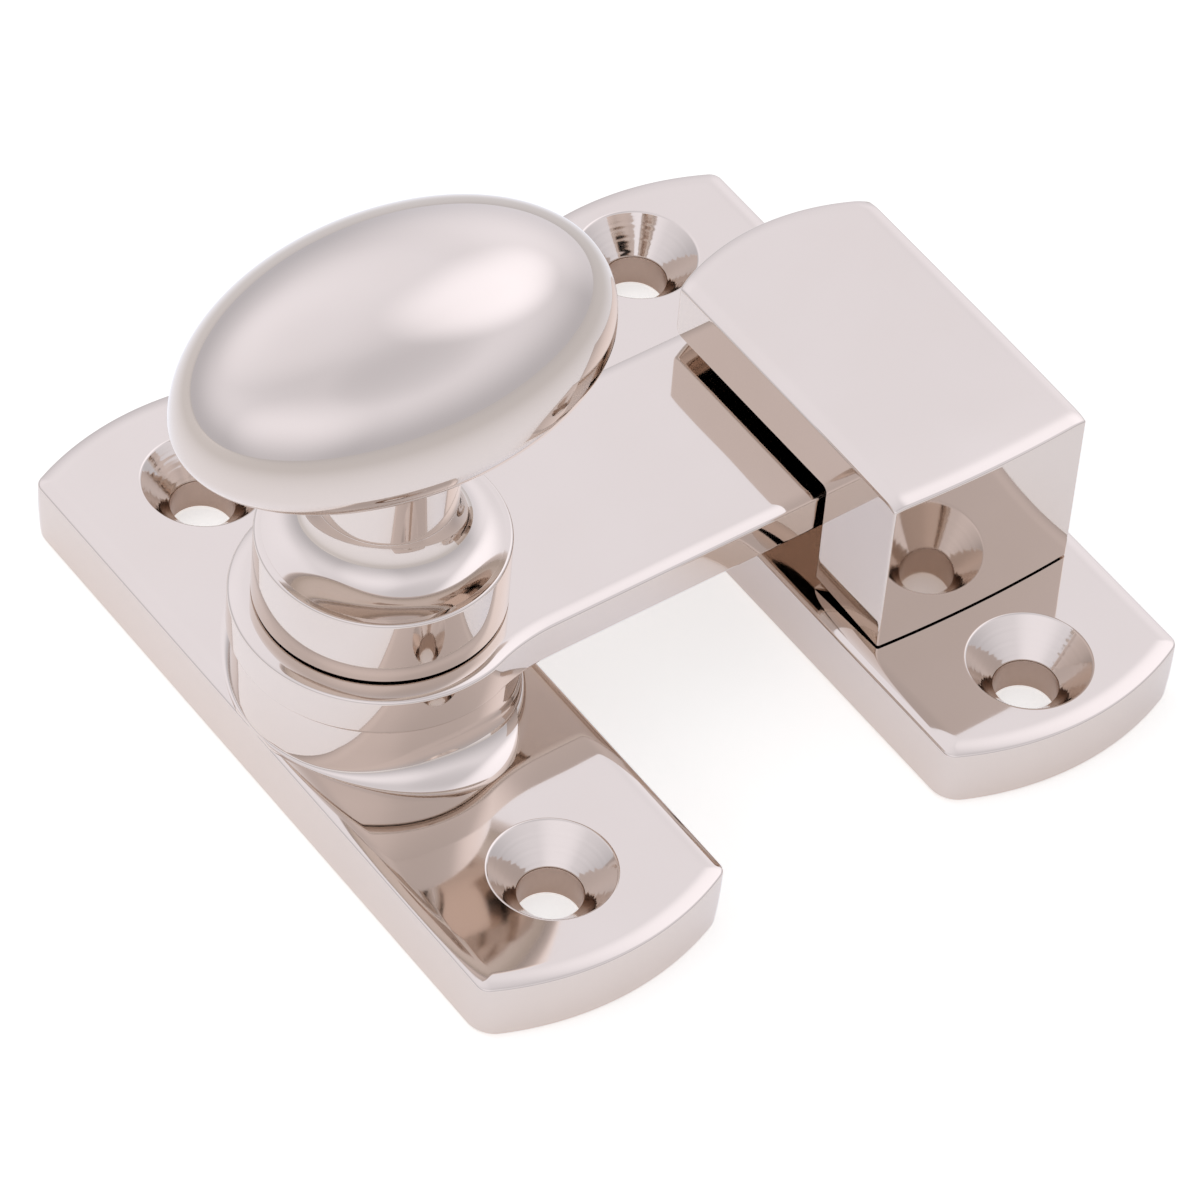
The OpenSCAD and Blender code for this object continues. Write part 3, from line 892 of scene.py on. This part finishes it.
class Tree:
    """A node tree under construction, with a short way to add and link nodes."""

    def __init__(self, tree, shader, place):
        self.tree = tree
        self.shader = tree.nodes[shader]
        self.place = self.add("ShaderNodeTexCoord").outputs[place]

    def add(self, kind, links=None, **values):
        """A node with its settings; links names the outputs that feed its inputs, by name or number."""
        node = self.tree.nodes.new(kind)
        for key, value in values.items():
            setattr(node, key, value)
        for socket, source in (links or {}).items():
            if isinstance(source, bpy.types.NodeSocket):
                self.tree.links.new(source, node.inputs[socket])
            else:
                node.inputs[socket].default_value = source
        return node

    def noise(self, scale, detail, stretch=(1.0, 1.0, 1.0)):
        """Soft noise of a given scale per metre, stretched along the axes."""
        vector = self.add("ShaderNodeMapping", {"Vector": self.place, "Scale": stretch}).outputs["Vector"]
        values = {"Vector": vector, "Scale": scale, "Detail": detail}
        return self.add("ShaderNodeTexNoise", values).outputs["Fac"]

    def ranged(self, source, low, high):
        """A 0 to 1 source stretched to run from low to high."""
        values = {"Value": source, "To Min": low, "To Max": high}
        return self.add("ShaderNodeMapRange", values).outputs["Result"]

    def math(self, operation, first, second):
        """One step of arithmetic on two numbers."""
        return self.add("ShaderNodeMath", {0: first, 1: second}, operation=operation).outputs["Value"]

    def mix(self, factor, first, second):
        """A blend of two colours."""
        return self.add("ShaderNodeMix", {0: factor, 6: first, 7: second}, data_type="RGBA").outputs[2]

    def smooth(self, source, first, last, low, high):
        """A smooth step of the source, from low at first to high at last."""
        return self.add("ShaderNodeMapRange", {
            "Value": source, "From Min": first, "From Max": last, "To Min": low, "To Max": high,
        }, interpolation_type="SMOOTHSTEP").outputs["Result"]

    def seen(self):
        """Two switches: 1 for rays from camera, gloss or glass, and 1 for rays from gloss alone."""
        path = self.add("ShaderNodeLightPath").outputs
        both = self.math("MAXIMUM", path["Is Camera Ray"], path["Is Glossy Ray"])
        return self.math("MAXIMUM", both, path["Is Transmission Ray"]), path["Is Glossy Ray"]

    def feed(self, socket, source):
        """Links a source to an input of the shader."""
        self.tree.links.new(source, self.shader.inputs[socket])


class Finish(Tree):
    """A material under construction."""

    def __init__(self, name):
        self.material = bpy.data.materials.new(name)
        self.material.use_nodes = True
        super().__init__(self.material.node_tree, "Principled BSDF", "Object")


def rgba(three):
    """A colour with full opacity."""
    return (*three, 1.0)


def bright_nickel(finish):
    """Bright nickel: faint warm clouds, a fine haze, softer where satin says so, painted shade in drilled
    holes.
    """
    make = Finish("bright_nickel")
    make.shader.inputs["Metallic"].default_value = 1.0
    clouds = make.noise(CLOUD_SCALE, detail=2.0)
    satin = make.add("ShaderNodeAttribute", attribute_name="satin").outputs["Fac"]
    plated = make.mix(clouds, rgba(finish.nickel), rgba(finish.nickel_deep))
    # Painted shade on the drilled walls, where satin is above 1
    shadowed = make.smooth(satin, 1.0, DRILL_SATIN_AND_SHADE, 0.0, 1.0)
    make.feed("Base Color", make.mix(shadowed, plated, rgba(finish.drilled)))
    haze = make.ranged(make.noise(HAZE_SCALE, detail=4.0), *HAZE_RANGE)
    grain = make.ranged(make.noise(GRAIN_SCALE, detail=3.0), *GRAIN_RANGE)
    make.feed("Roughness", make.math("ADD", haze, make.math("MULTIPLY", satin, grain)))
    wave = make.noise(WAVE_SCALE, detail=1.0)
    bump = make.add("ShaderNodeBump", {"Height": wave, "Strength": WAVE_STRENGTH, "Distance": WAVE_DEPTH})
    make.feed("Normal", bump.outputs["Normal"])
    return make.material


def turned_steel(finish):
    """Turned steel: grey, with fine tool marks in gloss and relief, close together along Z."""
    make = Finish("turned_steel")
    make.shader.inputs["Metallic"].default_value = 1.0
    make.shader.inputs["Base Color"].default_value = rgba(finish.steel)
    marks = make.noise(MARK_SCALE, detail=4.0, stretch=MARK_STRETCH)
    make.feed("Roughness", make.ranged(marks, *MARK_RANGE))
    bump = make.add("ShaderNodeBump", {"Height": marks, "Strength": MARK_STRENGTH, "Distance": MARK_DEPTH})
    make.feed("Normal", bump.outputs["Normal"])
    return make.material


def sheet_brass(finish):
    """Sheet brass: yellow, lightly scuffed."""
    make = Finish("sheet_brass")
    make.shader.inputs["Metallic"].default_value = 1.0
    make.shader.inputs["Base Color"].default_value = rgba(finish.brass)
    make.feed("Roughness", make.ranged(make.noise(SCUFF_SCALE, detail=4.0), *SCUFF_RANGE))
    return make.material


def finish_of(context, maker):
    """The material that a maker function gives, made once."""
    found = bpy.data.materials.get(maker.__name__)
    return found or maker(context.scene.latch_finish)


# Operators

class LATCH_OT_latch_plate(bpy.types.Operator):
    """Make the latch plate and the boss that stands on it"""

    bl_idname = "latch.latch_plate"
    bl_label = "Latch plate"

    def execute(self, context):
        plate, boss = context.scene.latch_plates, context.scene.latch_boss
        nickel = finish_of(context, bright_nickel)
        spacing = LATCH_DIMS["spacing_y_mm"] / 1000
        hole_r = LATCH_DIMS["hole_r_mm"] / 1000
        grids = plate_grids(plate, spacing, hole_r, LATCH_SPLIT, True)
        make_piece("latch_plate_body", grids, "base", ["latch_plate"], nickel)
        make_piece("latch_plate_boss", [(boss_grid(plate, boss), True, 0.0)], "base", ["latch_plate"],
                   nickel)
        return {"FINISHED"}


class LATCH_OT_keeper_plate(bpy.types.Operator):
    """Make the keeper plate"""

    bl_idname = "latch.keeper_plate"
    bl_label = "Keeper plate"

    def execute(self, context):
        spacing = KEEPER_DIMS["spacing_y_mm"] / 1000
        hole_r = KEEPER_DIMS["hole_r_mm"] / 1000
        grids = plate_grids(context.scene.latch_plates, spacing, hole_r, KEEPER_SPLIT, False)
        shift = ((PLATE_LOW.x + PLATE_HIGH.x) / 2, 0.0, 0.0)
        grids = [(points + shift, closed, satin) for points, closed, satin in grids]
        make_piece("keeper_plate_body", grids, "base", ["keeper_plate"],
                   finish_of(context, bright_nickel))
        return {"FINISHED"}


class LATCH_OT_arm(bpy.types.Operator):
    """Make the arm that turns into the hook"""

    bl_idname = "latch.arm"
    bl_label = "Arm"

    def execute(self, context):
        grid = arm_grid(context.scene.latch_bar)
        make_piece("latch_arm_body", [(grid, True, 0.0)], "turn", ["latch_arm"],
                   finish_of(context, bright_nickel), caps=[(0, 0), (0, len(grid) - 1)])
        return {"FINISHED"}


class LATCH_OT_knob(bpy.types.Operator):
    """Make the turned base and the oval knob"""

    bl_idname = "latch.knob"
    bl_label = "Knob and its base"

    def execute(self, context):
        knob = context.scene.latch_knob
        nickel = finish_of(context, bright_nickel)
        make_piece("knob_base_turned", [(turned(base_profile(knob), round_angles()), True, 0.0)], "turn",
                   ["knob_base"], nickel)
        make_piece("oval_knob_head", [(knob_grid(knob), True, 0.0)], "turn", ["oval_knob"],
                   nickel)
        return {"FINISHED"}


class LATCH_OT_hook(bpy.types.Operator):
    """Make the hook on the keeper plate"""

    bl_idname = "latch.hook"
    bl_label = "Hook"

    def execute(self, context):
        block, groove = hook_grids(context.scene.latch_hook)
        make_piece("keeper_hook_block", [(block, False, 0.0), (groove, True, 0.0)], "base", ["keeper_hook"],
                   finish_of(context, bright_nickel),
                   caps=[(0, 0), (0, len(block) - 1), (1, len(groove) - 1)])
        return {"FINISHED"}


class LATCH_OT_inner_pieces(bpy.types.Operator):
    """Finish the spindle, washers, nut and screws that keep their solids"""

    bl_idname = "latch.inner_pieces"
    bl_label = "Inner pieces"

    def execute(self, context):
        steel = finish_of(context, turned_steel)
        brass = finish_of(context, sheet_brass)
        for node in ("spindle", "spring_washer", "retaining_washer", "retaining_nut", "hook_screws"):
            self.dress(node, steel)
        self.dress("thrust_washer", brass)
        return {"FINISHED"}

    def dress(self, node, material):
        """Gives one carried-over solid its finish."""
        materials = frame["nodes"][node].data.materials
        materials.clear()
        materials.append(material)


def make_sheet(name, points, material):
    """A stage sheet from one open grid of points."""
    rows, columns = points.shape[:2]
    mesh = bpy.data.meshes.new(name)
    mesh.from_pydata(points.reshape(-1, 3).tolist(), [], grid_faces(rows, columns, False).tolist())
    mesh.materials.append(material)
    sheet = bpy.data.objects.new(name, mesh)
    bpy.context.scene.collection.objects.link(sheet)
    return sheet


def floor_finish(studio):
    """Pale matt floor with a plain glow, so that it is white but keeps a soft shadow.

    In reflections the glow is cooler, falls with the distance from the origin as a painted pool of light, and
    is darker and browner by the latch as a painted shadow.
    """
    make = Finish("pale_floor")
    make.shader.inputs["Roughness"].default_value = FLOOR_ROUGHNESS
    make.shader.inputs["Specular IOR Level"].default_value = 0.0
    make.shader.inputs["Base Color"].default_value = rgba(studio.floor)
    seen, gloss = make.seen()
    near = {"Distance": studio.shade_reach}
    # Painted shadow: in reflections the glow turns darker and browner where the latch hides the floor nearby
    unshadowed_share = make.add("ShaderNodeAmbientOcclusion", near, samples=SHADE_SAMPLES).outputs["AO"]
    mirrored_colour_and_shadow = make.mix(unshadowed_share, rgba(studio.floor_shade), rgba(studio.floor_cool))
    make.feed("Emission Color", make.mix(gloss, rgba(WHITE), mirrored_colour_and_shadow))
    # Painted pool of light round the latch, seen only in reflections
    away = make.add("ShaderNodeVectorMath", {0: make.place}, operation="LENGTH").outputs["Value"]
    mirrored = make.smooth(away, 0.0, studio.floor_reach, studio.floor_mirrored, studio.floor_far)
    glow = make.ranged(gloss, studio.floor_glow, mirrored)
    make.feed("Emission Strength", make.math("MULTIPLY", seen, glow))
    return make.material


def sky_direction(azimuth, elevation):
    """A unit vector from the azimuth, from -Y towards +X, and the elevation, both in degrees."""
    a, e = math.radians(azimuth), math.radians(elevation)
    return (math.sin(a) * math.cos(e), -math.cos(a) * math.cos(e), math.sin(e))


def add_lamp(name, place, size, power):
    """A square soft lamp that faces the middle of the latch."""
    data = bpy.data.lights.new(name, "AREA")
    data.shape = "SQUARE"
    data.size = size
    data.energy = power
    lamp = bpy.data.objects.new(name, data)
    lamp.location = place
    lamp.rotation_mode = "QUATERNION"
    lamp.rotation_quaternion = (-Vector(place)).to_track_quat("-Z", "Y")
    lamp.visible_glossy = False
    bpy.context.scene.collection.objects.link(lamp)
    return lamp


def studio_world(studio):
    """Surroundings: white to the camera and through glass, plain to matt surfaces, a light tent to gloss.

    The tent has a level by height, plus soft round patches, each a smooth step of the cosine to its middle.
    """
    world = bpy.data.worlds.new("studio")
    bpy.context.scene.world = world
    world.use_nodes = True
    make = Tree(world.node_tree, "Background", "Generated")
    rise = make.add("ShaderNodeSeparateXYZ", {0: make.place}).outputs["Z"]
    low = make.smooth(rise, 0.0, SKY_SHOULDER, SKY_HORIZON, SKY_MIDDLE)
    high = make.smooth(rise, SKY_SHOULDER, 1.0, 0.0, SKY_ZENITH - SKY_MIDDLE)
    level = make.math("ADD", low, high)
    for azimuth, elevation, spread, gain in SKY_PATCHES:
        towards = {0: make.place, 1: sky_direction(azimuth, elevation)}
        facing = make.add("ShaderNodeVectorMath", towards, operation="DOT_PRODUCT").outputs["Value"]
        rim = math.cos(math.radians(spread))
        level = make.math("ADD", level, make.smooth(facing, rim, 1.0, 0.0, gain))
    seen, gloss = make.seen()
    plain = make.ranged(seen, studio.open_sky, 1.0)
    tent = make.math("MULTIPLY", level, studio.tent_level)
    strength = make.add("ShaderNodeMix", {0: gloss, 2: plain, 3: tent}, data_type="FLOAT").outputs[0]
    make.feed("Strength", strength)
    make.feed("Color", make.mix(gloss, rgba(WHITE), rgba(studio.tent)))


def add_camera():
    """The photograph's view: a long lens, turned a little about its own axis."""
    azimuth, roll = math.radians(VIEW_AZIMUTH), math.radians(VIEW_ROLL)
    back = Vector(sky_direction(VIEW_AZIMUTH, VIEW_ELEVATION))
    right = Vector((math.cos(azimuth), math.sin(azimuth), 0.0))
    up = back.cross(right)
    across = math.cos(roll) * right + math.sin(roll) * up
    above = math.cos(roll) * up - math.sin(roll) * right
    data = bpy.data.cameras.new("photo_view")
    data.sensor_width = VIEW_SENSOR
    data.lens = VIEW_LENS
    data.clip_start = VIEW_CLIP
    camera = bpy.data.objects.new("photo_view", data)
    turn = Matrix((across, above, back)).transposed().to_4x4()
    camera.matrix_world = Matrix.Translation(Vector(VIEW_TARGET) + back * VIEW_DISTANCE) @ turn
    bpy.context.scene.collection.objects.link(camera)
    bpy.context.scene.camera = camera


class LATCH_OT_stage(bpy.types.Operator):
    """Make the floor, the surroundings, the lamps and the camera"""

    bl_idname = "latch.stage"
    bl_label = "Studio"

    def execute(self, context):
        studio = context.scene.latch_studio
        context.scene.view_settings.view_transform = "Standard"
        reach = np.linspace(-FLOOR_HALF, FLOOR_HALF, 3)
        x, y = np.meshgrid(reach, reach, indexing="ij")
        floor = np.stack([x, y, np.full_like(x, -FLOOR_DROP)], axis=-1)
        make_sheet("floor", floor, floor_finish(studio))
        studio_world(studio)
        add_lamp("lamp_top", TOP_LAMP_PLACE, TOP_LAMP_WIDTH, studio.top_power)
        add_lamp("lamp_left", LEFT_LAMP_PLACE, LEFT_LAMP_WIDTH, studio.side_power)
        add_camera()
        return {"FINISHED"}


class LATCH_PT_panel(bpy.types.Panel):
    """Lists what makes the latch"""

    bl_idname = "LATCH_PT_panel"
    bl_label = "Cabinet latch"
    bl_space_type = "VIEW_3D"
    bl_region_type = "UI"
    bl_category = "Latch"

    def draw(self, context):
        for operator in OPERATORS:
            self.layout.operator(operator.bl_idname)
        for name, group in SIZE_GROUPS.items():
            box = self.layout.box()
            for key in group.__annotations__:
                box.prop(getattr(context.scene, name), key)


OPERATORS = (
    LATCH_OT_latch_plate,
    LATCH_OT_keeper_plate,
    LATCH_OT_arm,
    LATCH_OT_knob,
    LATCH_OT_hook,
    LATCH_OT_inner_pieces,
    LATCH_OT_stage,
)


def register():
    """Registers the sizes, operators and panel."""
    for name, group in SIZE_GROUPS.items():
        bpy.utils.register_class(group)
        setattr(bpy.types.Scene, name, bpy.props.PointerProperty(type=group))
    for operator in OPERATORS:
        bpy.utils.register_class(operator)
    bpy.utils.register_class(LATCH_PT_panel)


def unregister():
    """Undoes register."""
    bpy.utils.unregister_class(LATCH_PT_panel)
    for operator in reversed(OPERATORS):
        bpy.utils.unregister_class(operator)
    for name, group in SIZE_GROUPS.items():
        delattr(bpy.types.Scene, name)
        bpy.utils.unregister_class(group)


def main():
    """Registers the add-on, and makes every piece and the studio."""
    register()
    bpy.ops.latch.latch_plate()
    bpy.ops.latch.keeper_plate()
    bpy.ops.latch.arm()
    bpy.ops.latch.knob()
    bpy.ops.latch.hook()
    bpy.ops.latch.inner_pieces()
    bpy.ops.latch.stage()


if __name__ == "__main__":
    main()
